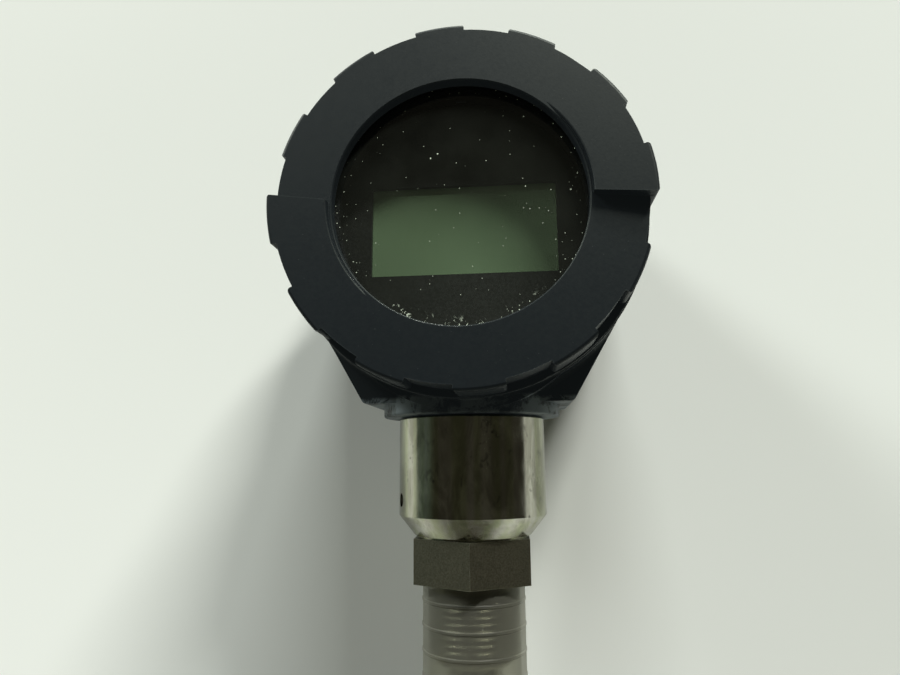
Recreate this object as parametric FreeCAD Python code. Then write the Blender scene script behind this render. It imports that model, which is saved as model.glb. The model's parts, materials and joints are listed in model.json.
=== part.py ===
"""Field pressure transmitter: a two-cover aluminium housing on a stainless sensor body.

The origin is on the stem axis, at the underside of the hexagon where the process thread starts.
+Z runs up the stem, the display cover faces -Y and the blind cover +Y, and the cable entries lie
along X. All sizes are in millimetres.
"""

import FreeCAD
import Part
import math
import os

V = FreeCAD.Vector

# Process end of the sensor body
THREAD_R = 10.0            # M20 x 1.5 process thread, crest radius
THREAD_LENGTH = 18.0
THREAD_CHAMFER = 1.2
NOSE_R = 5.0               # pilot nose below the thread
NOSE_LENGTH = 3.5
NOSE_EDGE = 0.6
PORT_R = 2.0               # pressure port through the nose
HEX_AF = 27.0
HEX_HEIGHT = 10.2
HEX_TURN = 0.9             # degrees that one corner is turned off the front

# Turned sensor body, upwards from the hexagon
UNDERCUT_R = 13.0
UNDERCUT_HEIGHT = 0.5
CONE_FOOT_R = 14.2
CONE_HEIGHT = 4.6
BODY_R = 17.9
BODY_LENGTH = 22.9
BODY_EDGE = 0.4
NECK_R = 12.0              # M24 neck that the housing turns on
NECK_LENGTH = 6.6
NECK_EDGE = 0.5
LOCK_GROOVE_DEPTH = 0.8
LOCK_GROOVE_LIFT = 3.2     # lower side of the groove above the shoulder
LOCK_GROOVE_WIDTH = 2.4
VENT_R = 1.6
VENT_LIFT = 3.6            # vent axis above the cone
VENT_ANGLE = 203.0
VENT_FLOOR_R = 12.6
VENT_PASSAGE_R = 0.6
VENT_FILTER_RECESS = 1.0   # filter face behind the body's surface
VENT_FILTER_LIFT = 0.9     # filter back in front of the vent's floor

# Sensor cell and what holds it
CELL_R = 9.5
CELL_HEIGHT = 11.0
CELL_SEAT_RISE = 0.7       # cell seat above the cone
CELL_EDGE = 0.4
CELL_CLEARANCE = 0.1
CELL_GROOVE_DEPTH = 1.3
CELL_GROOVE_LIFT = 4.2
CELL_GROOVE_HEIGHT = 1.8
SEAL_RELIEF = 0.02         # O-ring off the groove and the bore
DIAPHRAGM_RECESS = 0.8
DIAPHRAGM_WAVE = 0.3
DIAPHRAGM_WAVES = (2.6, 5.0)
DIAPHRAGM_R = 6.6
CHAMBER_R = 7.0
CHAMBER_HEIGHT = 2.0
RING_BORE_STEP = 0.6       # ring thread outside the cell's bore
RING_CLEARANCE = 0.08
RING_HEIGHT = 4.0
RING_INNER_R = 6.2
RING_SLOT_WIDTH = 2.0
RING_SLOT_DEPTH = 1.4
PIN_COUNT = 5
PIN_R = 0.4
PIN_CIRCLE_R = 4.2
PIN_END = 0.4              # pins standing out of the sensor board
BOARD_THICKNESS = 1.6
SENSOR_BOARD_GAP = 1.6     # board edge inside the ring's thread
SENSOR_BOARD_LIFT = 6.6    # underside of the board above the cell
SENSOR_HEADER = (6.0, 3.0, 3.2)
SENSOR_CHIP = (4.0, 3.2, 1.0)
SENSOR_CHIP_Y = 4.8

# Housing, radii outwards from the chambers
CHAMBER_WALL_R = 33.0
SPIGOT_STEP = 1.0          # cover spigot's inside outside the chamber wall
SPIGOT_WALL = 3.6
DRUM_WALL = 4.8            # outside the cover threads
DRUM_EDGE = 0.6
BLOCK_STEP = 0.1           # flats of the hexagonal lower body inside the drum
BLOCK_CORNER = 1.2
CAST_FILLET = 1.6
BOSS_R = 21.8
BOSS_GAP = 0.3             # boss above the shoulder of the sensor body
BOSS_EDGE = 0.5
CHIN_R = 32.0              # swell of the drum round the front and back of the boss
CHIN_RISE = 0.3            # swell above the foot of the boss
NECK_CLEARANCE = 0.08
NECK_END_GAP = 0.25
NECK_WEB = 0.95            # between the neck's bore and the cover threads
NECK_ORING_SECTION_R = 0.95
NECK_ORING_GAP = 0.25      # between the neck and the O-ring, and above the O-ring
NECK_ORING_LIFT = 0.05
WIRE_HOLE_R = 4.0

# Housing, distances from the stem axis towards either cover
DRUM_HALF = 20.2
BLOCK_SET_BACK = 6.2       # sides of the hexagonal lower body inside the drum's faces
BOSS_SET_BACK = 0.8        # flats of the neck boss inside the drum's faces
CHAMBER_SET_BACK = 8.0     # foot of the cover threads inside the drum's faces
SHELF_FRONT = 9.0          # the module shelf, in front of the stem axis
SHELF_THICKNESS = 2.0
SHELF_CLEARANCE = 0.6      # round the module cup

# Covers, shared by the front and the rear one
COVER_GAP = 0.5            # between the drum and the cover's lip
LIP_THICKNESS = 1.2
LIP_STEP = 0.2             # lip inside the drum's outside
LIP_EDGE = 0.3
TAB_LENGTH = 10.6
TAB_STEP = 0.6             # tabs inside the drum's outside
TAB_COUNT = 12
TAB_HALF_ANGLE = 7.8
TAB_OFFSET = 5.5
TAB_CORNER = 0.9
TAB_EDGE = 1.0
NOTCH_DEPTH = 1.5
COVER_THREAD_CLEARANCE = 0.08
COVER_THREAD_GAP = 0.4     # end of the cover's thread off the chamber step
COVER_THREAD_EDGE = 0.6
SEAL_SECTION_R = 1.15
SEAL_CLEARANCE = 0.1
SEAL_SET_BACK = 1.0        # seal centre inside the drum's face
SEAL_POCKET_GAP = 0.45     # seal off the floor of its pocket
SEAL_ROOT_GAP = 0.15       # seal off the end of the cover's thread
SEAL_ROOT_STEP = 1.2       # seal root inside the cover's thread
LUG_HEIGHT = 3.0           # at the outer end of the step
LUG_INNER_R = 28.6
LUG_INNER_EDGE = 0.4
LUG_OUTER_EDGE = 0.8
LUG_SWEEP = 50.0           # from the step to where the slope meets the face
LUG_SKEW = 1.6             # degrees that the step leans off the radius, at its inner end

# Window of the front cover
WINDOW_LAND = 3.8          # glass seat width
WINDOW_WALL = 2.8
WINDOW_BEVEL = 0.25
GASKET_THICKNESS = 0.7
GASKET_SET_BACK = 0.6
GLASS_THICKNESS = 5.0
GLASS_EDGE = 0.4
GLASS_CLEARANCE = 0.2
GLASS_RING_WALL = 0.7      # spigot wall left outside the ring's thread
GLASS_RING_STEP = 1.5      # ring thread outside the glass
GLASS_RING_HEIGHT = 3.0
GLASS_RING_WIDTH = 4.7
SPANNER_SLOT = 2.4

# Blind rear cover
BLIND_WALL = 3.0
BLIND_CORNER = 2.0
BLIND_PAD_R = 27.0
BLIND_PAD_HEIGHT = 1.0
BLIND_PAD_EDGE = 0.6

# Cable entries, M20 x 1.5
ENTRY_R = 9.25
ENTRY_BOSS_WALL = 3.95
ENTRY_BOSS_RISE = 0.2      # face of the boss outside the drum
ENTRY_BOSS_EDGE = 0.8
ENTRY_WALL = 0.45          # between the entry and the foot of the rear cover's thread
ENTRY_LIFT = 6.0           # above the cover axis
ENTRY_CHAMFER = 1.0
PLUG_CLEARANCE = 0.08
PLUG_RIM = 2.15            # head outside the entry's thread
PLUG_HEAD_HEIGHT = 1.3
PLUG_EDGE = 0.5
PLUG_LENGTH = 9.0
PLUG_SOCKET_AF = 8.0
PLUG_SOCKET_DEPTH = 5.0
PLUG_SEAL_THICKNESS = 0.8

# Electronics module on the housing shelf
FLANGE_GAP = 0.8           # flange inside the chamber wall
FLANGE_THICKNESS = 2.4
FLANGE_EDGE = 0.5
CUP_R = 23.0
CUP_WALL = 1.5
CUP_BACK = 4.0
CUP_EDGE = 0.8
POTTING_FRONT = 8.2
POTTING_EDGE = 0.3
MAIN_BOARD_GAP = 0.2
MODULE_SCREW_SET_BACK = 3.0
MODULE_SCREW_COUNT = 4
MODULE_SCREW_TURN = 45.0
SHELF_PAD_R = 4.0
SHELF_PAD_LENGTH = 4.0
CONNECTOR_WIDTH = 14.0
CONNECTOR_HEIGHT = 5.0
CONNECTOR_SET_BACK = 5.8   # centre of the strip inside the main board's edge
# Main board components: x, z, then their size
BOARD_COMPONENTS = (
    (-9.0, 6.0, (9.0, 1.2, 9.0)),
    (7.5, 8.0, (5.0, 1.0, 6.0)),
    (-11.0, -8.0, (3.2, 1.6, 7.0)),
    (11.5, -6.0, (6.0, 1.4, 4.0)),
)

# Display, radii inwards from the chamber wall
BEZEL_GAP = 2.4
BEZEL_WALL = 1.2
BEZEL_EDGE = 0.8
DISPLAY_BOARD_GAP = 0.4    # board edge behind the bezel's rim
DISPLAY_SCREW_SET_BACK = 2.6
STANDOFF_R = 2.6
STANDOFF_LENGTH = 2.4
LCD_WIDTH = 46.5
LCD_HEIGHT = 26.0
LCD_THICKNESS = 2.6
LCD_DROP = 2.2             # centre of the display below the cover axis
LCD_LEDGE = (2.0, 1.1)     # height and depth of the contact ledge
LCD_VIEW_WIDTH = 43.6
LCD_VIEW_HEIGHT = 21.8
LCD_VIEW_CORNER = 0.5

# Terminals on the back of the module
TERMINAL_COUNT = 3
TERMINAL_PITCH = 13.0
TERMINAL_BLOCK_HEIGHT = 16.0
TERMINAL_WELL_DEPTH = 5.0
TERMINAL_BASE_DEPTH = 4.0
TERMINAL_RIB = 1.6
TERMINAL_DROP = 6.0        # below the cover axis
TERMINAL_PLATE_THICKNESS = 1.0
TERMINAL_PLATE_GAP = 1.4   # plate inside the sides of its well
TERMINAL_WASHER_STEP = 0.5
TERMINAL_WASHER_THICKNESS = 0.8

# Small screws: shank radius, shank length, head radius, head height
M3_SCREW = (1.5, 5.2, 2.7, 1.8)
M3_SHORT = (1.2, 2.2, 2.3, 1.4)
M4_SCREW = (2.0, 5.0, 3.4, 2.4)
SCREW_CLEARANCE = 0.05
SCREW_TIP_GAP = 0.3
LOCK_SCREW_R = 1.5
LOCK_SCREW_SINK = 0.6      # end of the screw inside the neck boss
LOCK_SCREW_POINT_R = 1.0
LOCK_SCREW_POINT = 1.6
LOCK_SCREW_SOCKET_AF = 1.5
LOCK_SCREW_SOCKET_DEPTH = 2.2
LOCK_SCREW_ANGLE = 155.0
LOCK_TIP_GAP = 0.15
EARTH_PAD_R = 4.8
EARTH_WASHER_R = 4.4
EARTH_WASHER_THICKNESS = 1.0
INNER_EARTH_ANGLE = 215.0
INNER_EARTH_SET_BACK = 4.9
INNER_EARTH_PAD = 5.5
OUTER_EARTH_ANGLE = 118.0
OUTER_EARTH_RISE = 2.2     # face of the pad outside the drum

# Thread protector on the process thread
CAP_CLEARANCE = 0.9
CAP_WALL = 1.28
CAP_RIM_GAP = 0.3
CAP_END_GAP = 2.9          # inside of the cap's floor below the nose
CAP_FLOOR = 1.6
CAP_EDGE = 1.0
CAP_GRIP_CLEARANCE = 0.15
CAP_GRIP_GAP = 0.7         # top of the grip below the thread
CAP_GRIP_WALL = 1.2
CAP_BAND_HEIGHT = 0.15
CAP_BAND_WIDTH = 0.9
CAP_BAND_PITCH = 5.6
CAP_BAND_COUNT = 4
CAP_BAND_START = 4.0

# Levels along the stem
CONE_FOOT_Z = HEX_HEIGHT + UNDERCUT_HEIGHT
CONE_TOP_Z = CONE_FOOT_Z + CONE_HEIGHT
BODY_TOP_Z = CONE_TOP_Z + BODY_LENGTH
NECK_TOP_Z = BODY_TOP_Z + NECK_LENGTH
LOCK_GROOVE_R = NECK_R - LOCK_GROOVE_DEPTH
LOCK_GROOVE_LOW = BODY_TOP_Z + LOCK_GROOVE_LIFT
LOCK_GROOVE_HIGH = LOCK_GROOVE_LOW + LOCK_GROOVE_WIDTH
LOCK_Z = (LOCK_GROOVE_LOW + LOCK_GROOVE_HIGH) / 2
VENT_Z = CONE_TOP_Z + VENT_LIFT
CELL_SEAT_Z = CONE_TOP_Z + CELL_SEAT_RISE
CELL_TOP_Z = CELL_SEAT_Z + CELL_HEIGHT
RING_BORE_R = CELL_R + CELL_CLEARANCE + RING_BORE_STEP
BOSS_BOTTOM_Z = BODY_TOP_Z + BOSS_GAP

# Radii about the cover axis
SPIGOT_R = CHAMBER_WALL_R + SPIGOT_STEP
COVER_THREAD_R = SPIGOT_R + SPIGOT_WALL
AXIS_Z = NECK_TOP_Z + NECK_END_GAP + NECK_WEB + COVER_THREAD_R
DRUM_R = COVER_THREAD_R + DRUM_WALL
BLOCK_APOTHEM = DRUM_R - BLOCK_STEP
TAB_R = DRUM_R - TAB_STEP
LIP_R = DRUM_R - LIP_STEP
SEAL_ROOT_R = COVER_THREAD_R - SEAL_ROOT_STEP
GLASS_RING_R = SPIGOT_R - GLASS_RING_WALL
GLASS_R = GLASS_RING_R - GLASS_RING_STEP
WINDOW_R = GLASS_R - WINDOW_LAND
GLASS_RING_INNER_R = GLASS_RING_R - GLASS_RING_WIDTH
FLANGE_R = CHAMBER_WALL_R - FLANGE_GAP
MODULE_SCREW_CIRCLE_R = FLANGE_R - MODULE_SCREW_SET_BACK
BEZEL_R = CHAMBER_WALL_R - BEZEL_GAP
DISPLAY_BOARD_R = BEZEL_R - DISPLAY_BOARD_GAP
DISPLAY_SCREW_CIRCLE_R = BEZEL_R - BEZEL_WALL - DISPLAY_SCREW_SET_BACK
SHELF_R = CUP_R + SHELF_CLEARANCE
MAIN_BOARD_R = CUP_R - CUP_WALL - MAIN_BOARD_GAP
INNER_EARTH_CIRCLE_R = CHAMBER_WALL_R - INNER_EARTH_SET_BACK
OUTER_EARTH_PAD_R = DRUM_R + OUTER_EARTH_RISE
ENTRY_FACE_X = DRUM_R + ENTRY_BOSS_RISE
ENTRY_BOSS_R = ENTRY_R + ENTRY_BOSS_WALL
PLUG_HEAD_R = ENTRY_R + PLUG_RIM

# Distances from the stem axis
BLOCK_HALF = DRUM_HALF - BLOCK_SET_BACK
BOSS_HALF = DRUM_HALF - BOSS_SET_BACK
CHAMBER_HALF = DRUM_HALF - CHAMBER_SET_BACK
LIP_BACK = DRUM_HALF + COVER_GAP
LIP_FRONT = LIP_BACK + LIP_THICKNESS
COVER_FACE = LIP_FRONT + TAB_LENGTH
ENTRY_Y = CHAMBER_HALF - ENTRY_R - ENTRY_WALL
COVER_THREAD_END = CHAMBER_HALF + COVER_THREAD_GAP
SEAL_CENTRE = DRUM_HALF - SEAL_SET_BACK
GLASS_FRONT = COVER_FACE - WINDOW_WALL - GASKET_THICKNESS
GLASS_BACK = GLASS_FRONT - GLASS_THICKNESS
GLASS_RING_BACK = GLASS_BACK - GLASS_RING_HEIGHT
SHELF_BACK = SHELF_FRONT - SHELF_THICKNESS
FLANGE_FRONT = SHELF_FRONT + FLANGE_THICKNESS
MAIN_BOARD_FRONT = POTTING_FRONT + BOARD_THICKNESS
DISPLAY_BOARD_BACK = FLANGE_FRONT + STANDOFF_LENGTH
DISPLAY_BOARD_FRONT = DISPLAY_BOARD_BACK + BOARD_THICKNESS
LCD_FRONT = DISPLAY_BOARD_FRONT + LCD_THICKNESS
BEZEL_FRONT = LCD_FRONT + BEZEL_WALL
TERMINAL_FLOOR = CUP_BACK + TERMINAL_BASE_DEPTH
TERMINAL_BLOCK_DEPTH = TERMINAL_BASE_DEPTH + TERMINAL_WELL_DEPTH

AXIS = V(0, 0, AXIS_Z)
Y_AXIS = V(0, 1, 0)
Z_AXIS = V(0, 0, 1)


def rounded_wire(corners, place):
    """Closed wire through (u, v) corners; a third number rounds that corner with a tangent arc."""
    count = len(corners)
    cuts = []
    for index, corner in enumerate(corners):
        point = place(corner[0], corner[1])
        radius = corner[2] if len(corner) > 2 else 0.0
        if radius == 0.0:
            cuts.append((point, None, point))
            continue
        before = corners[index - 1]
        after = corners[(index + 1) % count]
        to_before = (place(before[0], before[1]) - point).normalize()
        to_after = (place(after[0], after[1]) - point).normalize()
        half = to_before.getAngle(to_after) / 2
        reach = radius / math.tan(half)
        bisector = (to_before + to_after).normalize()
        middle = point + bisector * (radius / math.sin(half) - radius)
        cuts.append((point + to_before * reach, middle, point + to_after * reach))
    edges = []
    for index, (start, middle, end) in enumerate(cuts):
        if middle is not None:
            edges.append(Part.Arc(start, middle, end).toShape())
        following = cuts[(index + 1) % count][0]
        if end.distanceToPoint(following) > 1e-6:
            edges.append(Part.makeLine(end, following))
    return Part.Wire(edges)


def turned_z(corners):
    """Solid of revolution about the stem axis from (radius, z) corners."""
    wire = rounded_wire(corners, lambda r, z: V(r, 0, z))
    return Part.Face(wire).revolve(V(0, 0, 0), Z_AXIS, 360)


def turned_y(corners, side=-1):
    """Solid of revolution about the cover axis from (radius, distance) corners.

    The distance is measured from the stem axis towards the front (side -1) or the rear (side 1).
    """
    wire = rounded_wire(corners, lambda r, d: V(r, side * d, AXIS_Z))
    return Part.Face(wire).revolve(AXIS, Y_AXIS, 360)


def plate_y(corners, low, high):
    """Plate with a rounded outline of (x, z from the cover axis) corners, from y low to high."""
    wire = rounded_wire(corners, lambda x, z: V(x, low, AXIS_Z + z))
    return Part.Face(wire).extrude(V(0, high - low, 0))


def box_about(centre_x, low_y, centre_z, size):
    """Box of (x, y, z) size, centred in x and z, that starts at low_y; z is from the cover axis."""
    corner = V(centre_x - size[0] / 2, low_y, AXIS_Z + centre_z - size[2] / 2)
    return Part.makeBox(size[0], size[1], size[2], corner)


def tube(inner, outer, start, direction, length):
    """Straight tube from its start point along a direction."""
    body = Part.makeCylinder(outer, length, start, direction)
    return body.cut(Part.makeCylinder(inner, length, start, direction))


def ring_point(radius, angle, y=0.0):
    """Point at a radius and angle about the cover axis, seen from the front."""
    turn = math.radians(angle)
    return V(radius * math.cos(turn), y, AXIS_Z + radius * math.sin(turn))


def hexagon(across_flats, base, direction, length, turn=0.0):
    """Hexagonal prism with a corner towards -Y (or -Z for a sideways axis)."""
    corner_r = across_flats / 2 / math.cos(math.radians(30))
    points = []
    for k in range(7):
        angle = math.radians(60 * k - 90 + turn)
        points.append(V(corner_r * math.cos(angle), corner_r * math.sin(angle), 0))
    prism = Part.Face(Part.makePolygon(points)).extrude(V(0, 0, length))
    prism.Placement = FreeCAD.Placement(base, FreeCAD.Rotation(Z_AXIS, direction))
    return prism


def pan_screw(size, seat, inward):
    """Cross-slotted pan head screw whose head sits on the seat point; inward is its shank's way."""
    shank_r, shank_length, head_r, head_height = size
    outward = inward * -1
    head = Part.makeCylinder(head_r, head_height, seat, outward)
    top = [e for e in head.Edges if abs((e.CenterOfMass - seat).dot(outward) - head_height) < 1e-3]
    head = head.makeFillet(head_height * 0.45, top)
    shank = Part.makeCylinder(shank_r, shank_length, seat, inward)
    slot_length = head_r * 1.3
    slot = Part.makeBox(slot_length, head_r * 0.28, head_height)
    slot.translate(V(-slot_length / 2, -head_r * 0.14, head_height * 0.5))
    cross = slot.copy()
    cross.rotate(V(0, 0, 0), Z_AXIS, 90)
    recess = slot.fuse(cross)
    recess.Placement = FreeCAD.Placement(seat, FreeCAD.Rotation(Z_AXIS, outward))
    return head.fuse(shank).cut(recess).removeSplitter()


# ---- sensor body -------------------------------------------------------------------------------

def vent_direction():
    angle = math.radians(VENT_ANGLE)
    return V(math.cos(angle), math.sin(angle), 0)


def sensor_body():
    """Stainless stem: pilot nose, process thread, hexagon, cone, cylinder and housing neck."""
    thread_end = -THREAD_LENGTH
    stem = turned_z([
        (0, thread_end - NOSE_LENGTH), (NOSE_R, thread_end - NOSE_LENGTH, NOSE_EDGE),
        (NOSE_R, thread_end), (THREAD_R - THREAD_CHAMFER, thread_end),
        (THREAD_R, thread_end + THREAD_CHAMFER),
        (THREAD_R, 0), (UNDERCUT_R, 0), (UNDERCUT_R, CONE_FOOT_Z), (CONE_FOOT_R, CONE_FOOT_Z),
        (BODY_R, CONE_TOP_Z), (BODY_R, BODY_TOP_Z, BODY_EDGE), (NECK_R, BODY_TOP_Z),
        (NECK_R, LOCK_GROOVE_LOW), (LOCK_GROOVE_R, LOCK_GROOVE_LOW),
        (LOCK_GROOVE_R, LOCK_GROOVE_HIGH), (NECK_R, LOCK_GROOVE_HIGH),
        (NECK_R, NECK_TOP_Z, NECK_EDGE), (0, NECK_TOP_Z),
    ])
    stem = stem.fuse(hexagon(HEX_AF, V(0, 0, 0), Z_AXIS, HEX_HEIGHT, HEX_TURN))
    bore = turned_z([
        (0, thread_end - NOSE_LENGTH - 1), (PORT_R, thread_end - NOSE_LENGTH - 1),
        (PORT_R, CELL_SEAT_Z - CHAMBER_HEIGHT), (CHAMBER_R, CELL_SEAT_Z - CHAMBER_HEIGHT),
        (CHAMBER_R, CELL_SEAT_Z), (CELL_R + CELL_CLEARANCE, CELL_SEAT_Z),
        (CELL_R + CELL_CLEARANCE, CELL_TOP_Z), (RING_BORE_R, CELL_TOP_Z),
        (RING_BORE_R, NECK_TOP_Z + 1), (0, NECK_TOP_Z + 1),
    ])
    out = vent_direction()
    vent = Part.makeCylinder(VENT_R, BODY_R, out * VENT_FLOOR_R + V(0, 0, VENT_Z), out)
    start = out * (VENT_FLOOR_R + VENT_PASSAGE_R) + V(0, 0, VENT_Z)
    end = out * (RING_BORE_R - VENT_PASSAGE_R / 2) + V(0, 0, CELL_TOP_Z + RING_HEIGHT + VENT_R)
    passage = Part.makeCylinder(VENT_PASSAGE_R, (end - start).Length, start, end - start)
    return stem.cut(bore).cut(vent).cut(passage).removeSplitter()


def vent_filter():
    """Sintered plug pressed into the reference vent, a little below the surface."""
    out = vent_direction()
    length = BODY_R - VENT_FILTER_RECESS - VENT_FLOOR_R - VENT_FILTER_LIFT
    start = out * (VENT_FLOOR_R + VENT_FILTER_LIFT) + V(0, 0, VENT_Z)
    return Part.makeCylinder(VENT_R, length, start, out)


def cell_pins():
    """Centres of the glass-sealed pins on the cell's header."""
    points = []
    for k in range(PIN_COUNT):
        angle = 2 * math.pi * k / PIN_COUNT
        points.append(V(PIN_CIRCLE_R * math.cos(angle), PIN_CIRCLE_R * math.sin(angle), CELL_TOP_Z))
    return points


def cell_pin_length():
    return SENSOR_BOARD_LIFT + BOARD_THICKNESS + PIN_END


def sensor_cell():
    """Oil-filled pressure cell with a corrugated diaphragm below and a header of pins above."""
    groove_low = CELL_SEAT_Z + CELL_GROOVE_LIFT
    groove_high = groove_low + CELL_GROOVE_HEIGHT
    groove_r = CELL_R - CELL_GROOVE_DEPTH
    diaphragm_z = CELL_SEAT_Z + DIAPHRAGM_RECESS
    crest_z = diaphragm_z + DIAPHRAGM_WAVE
    profile = [(0, diaphragm_z)]
    for radius in DIAPHRAGM_WAVES:
        profile += [(radius - 2 * DIAPHRAGM_WAVE, diaphragm_z), (radius, crest_z),
                    (radius + 2 * DIAPHRAGM_WAVE, diaphragm_z)]
    profile += [
        (DIAPHRAGM_R, diaphragm_z), (DIAPHRAGM_R + DIAPHRAGM_RECESS, CELL_SEAT_Z),
        (CELL_R, CELL_SEAT_Z, CELL_EDGE), (CELL_R, groove_low), (groove_r, groove_low),
        (groove_r, groove_high), (CELL_R, groove_high), (CELL_R, CELL_TOP_Z, CELL_EDGE),
        (0, CELL_TOP_Z),
    ]
    cell = turned_z(profile)
    pins = [Part.makeCylinder(PIN_R, cell_pin_length(), p) for p in cell_pins()]
    return cell.fuse(pins).removeSplitter()


def cell_oring():
    """O-ring in the groove of the cell."""
    outer = CELL_R + CELL_CLEARANCE
    inner = CELL_R - CELL_GROOVE_DEPTH
    section_r = (outer - inner) / 2 - SEAL_RELIEF
    z = CELL_SEAT_Z + CELL_GROOVE_LIFT + CELL_GROOVE_HEIGHT / 2
    return Part.makeTorus((outer + inner) / 2, section_r, V(0, 0, z), Z_AXIS)


def cell_retaining_ring():
    """Threaded ring with two spanner slots that clamps the cell on its seat."""
    ring = tube(RING_INNER_R, RING_BORE_R - RING_CLEARANCE, V(0, 0, CELL_TOP_Z), Z_AXIS, RING_HEIGHT)
    corner = V(-2 * RING_BORE_R, -RING_SLOT_WIDTH / 2, CELL_TOP_Z + RING_HEIGHT - RING_SLOT_DEPTH)
    slot = Part.makeBox(4 * RING_BORE_R, RING_SLOT_WIDTH, RING_SLOT_DEPTH, corner)
    return ring.cut(slot)


def sensor_board():
    """Round compensation board that stands on the cell's pins."""
    z = CELL_TOP_Z + SENSOR_BOARD_LIFT
    board = Part.makeCylinder(RING_BORE_R - SENSOR_BOARD_GAP, BOARD_THICKNESS, V(0, 0, z))
    for point in cell_pins():
        board = board.cut(Part.makeCylinder(PIN_R + SCREW_CLEARANCE, cell_pin_length(), point))
    top = z + BOARD_THICKNESS
    width, depth, height = SENSOR_HEADER
    header = Part.makeBox(width, depth, height, V(-width / 2, -depth / 2, top))
    width, depth, height = SENSOR_CHIP
    chip = Part.makeBox(width, depth, height, V(-width / 2, SENSOR_CHIP_Y, top))
    return board.fuse([header, chip])


def neck_oring():
    """O-ring on the shoulder of the stem, under the housing."""
    radius = NECK_R + NECK_ORING_GAP + NECK_ORING_SECTION_R
    z = BODY_TOP_Z + NECK_ORING_SECTION_R + NECK_ORING_LIFT
    return Part.makeTorus(radius, NECK_ORING_SECTION_R, V(0, 0, z), Z_AXIS)


# ---- housing -----------------------------------------------------------------------------------

def lower_block():
    """Hexagonal lower body: a flat foot and two sides that run tangent into the drum."""
    half_foot = BLOCK_APOTHEM * math.tan(math.radians(30))
    tangent_x = BLOCK_APOTHEM * math.cos(math.radians(30))
    tangent_z = BLOCK_APOTHEM * math.sin(math.radians(30))
    outline = [
        (-tangent_x, -tangent_z), (-half_foot, -BLOCK_APOTHEM, BLOCK_CORNER),
        (half_foot, -BLOCK_APOTHEM, BLOCK_CORNER), (tangent_x, -tangent_z), (0, 0),
    ]
    block = plate_y(outline, -BLOCK_HALF, BLOCK_HALF)
    reach = BLOCK_HALF + CAST_FILLET
    envelope = plate_y(outline, -reach, reach)
    for side in (-1, 1):
        centre = V(DRUM_R + CAST_FILLET, side * reach, AXIS_Z)
        root = V(DRUM_R, side * reach, AXIS_Z)
        rim = V(DRUM_R + CAST_FILLET, side * BLOCK_HALF, AXIS_Z)
        middle = centre + ((root + rim) * 0.5 - centre).normalize() * CAST_FILLET
        inside_root = V(DRUM_R - 1, side * reach, AXIS_Z)
        inside_rim = V(DRUM_R - 1, side * BLOCK_HALF, AXIS_Z)
        edges = [
            Part.Arc(root, middle, rim).toShape(), Part.makeLine(rim, inside_rim),
            Part.makeLine(inside_rim, inside_root), Part.makeLine(inside_root, root),
        ]
        fillet_ring = Part.Face(Part.Wire(edges)).revolve(AXIS, Y_AXIS, 360)
        block = block.fuse(fillet_ring.common(envelope))
    return block


def neck_boss():
    """Round boss under the drum that takes the neck of the sensor body."""
    height = AXIS_Z - BOSS_BOTTOM_Z - BLOCK_APOTHEM / 2
    boss = Part.makeCylinder(BOSS_R, height, V(0, 0, BOSS_BOTTOM_Z))
    slab = Part.makeBox(4 * BOSS_R, 2 * BOSS_HALF, height, V(-2 * BOSS_R, -BOSS_HALF, BOSS_BOTTOM_Z))
    boss = boss.common(slab)
    foot = [e for e in boss.Edges if abs(e.BoundBox.ZMax - BOSS_BOTTOM_Z) < 1e-3]
    return boss.makeFillet(BOSS_EDGE, foot)


def chin():
    """Swell of the drum that runs down over the front and the back of the neck boss."""
    half = DRUM_HALF - DRUM_EDGE
    axis_z = BOSS_BOTTOM_Z + CHIN_RISE + CHIN_R
    return Part.makeCylinder(CHIN_R, 2 * half, V(0, -half, axis_z), Y_AXIS)


def entry_axis(side):
    """Start point on the housing face and outward direction of a cable entry."""
    return V(side * ENTRY_FACE_X, ENTRY_Y, AXIS_Z + ENTRY_LIFT), V(side, 0, 0)


def entry_bosses():
    bosses = []
    for side in (-1, 1):
        face, out = entry_axis(side)
        boss = Part.makeCylinder(ENTRY_BOSS_R, ENTRY_FACE_X / 2, face, out * -1)
        rim = [e for e in boss.Edges if abs(abs(e.CenterOfMass.x) - ENTRY_FACE_X) < 1e-3]
        bosses.append(boss.makeChamfer(ENTRY_BOSS_EDGE, rim))
    return bosses


def housing_cavity():
    """Both chambers with the cover threads, the seal pockets and the shelf between them."""
    seal_pocket_r = SEAL_ROOT_R + 2 * SEAL_SECTION_R + 2 * SEAL_CLEARANCE
    pocket_floor = SEAL_CENTRE - SEAL_SECTION_R - SEAL_POCKET_GAP
    cavity = None
    for side, floor in ((-1, SHELF_FRONT), (1, -SHELF_BACK)):
        space = turned_y([
            (0, DRUM_HALF + 1), (seal_pocket_r, DRUM_HALF + 1), (seal_pocket_r, pocket_floor),
            (COVER_THREAD_R, pocket_floor), (COVER_THREAD_R, CHAMBER_HALF),
            (CHAMBER_WALL_R, CHAMBER_HALF), (CHAMBER_WALL_R, floor), (0, floor),
        ], side)
        cavity = space if cavity is None else cavity.fuse(space)
    opening = Part.makeCylinder(SHELF_R, SHELF_THICKNESS + 2, V(0, -SHELF_FRONT - 1, AXIS_Z), Y_AXIS)
    return cavity.fuse(opening)


def module_screw_points():
    """Seats of the module's screws on the front of its flange."""
    step = 360.0 / MODULE_SCREW_COUNT
    return [ring_point(MODULE_SCREW_CIRCLE_R, MODULE_SCREW_TURN + step * k, -FLANGE_FRONT)
            for k in range(MODULE_SCREW_COUNT)]


def lock_direction():
    angle = math.radians(LOCK_SCREW_ANGLE)
    return V(math.cos(angle), math.sin(angle), 0)


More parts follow.
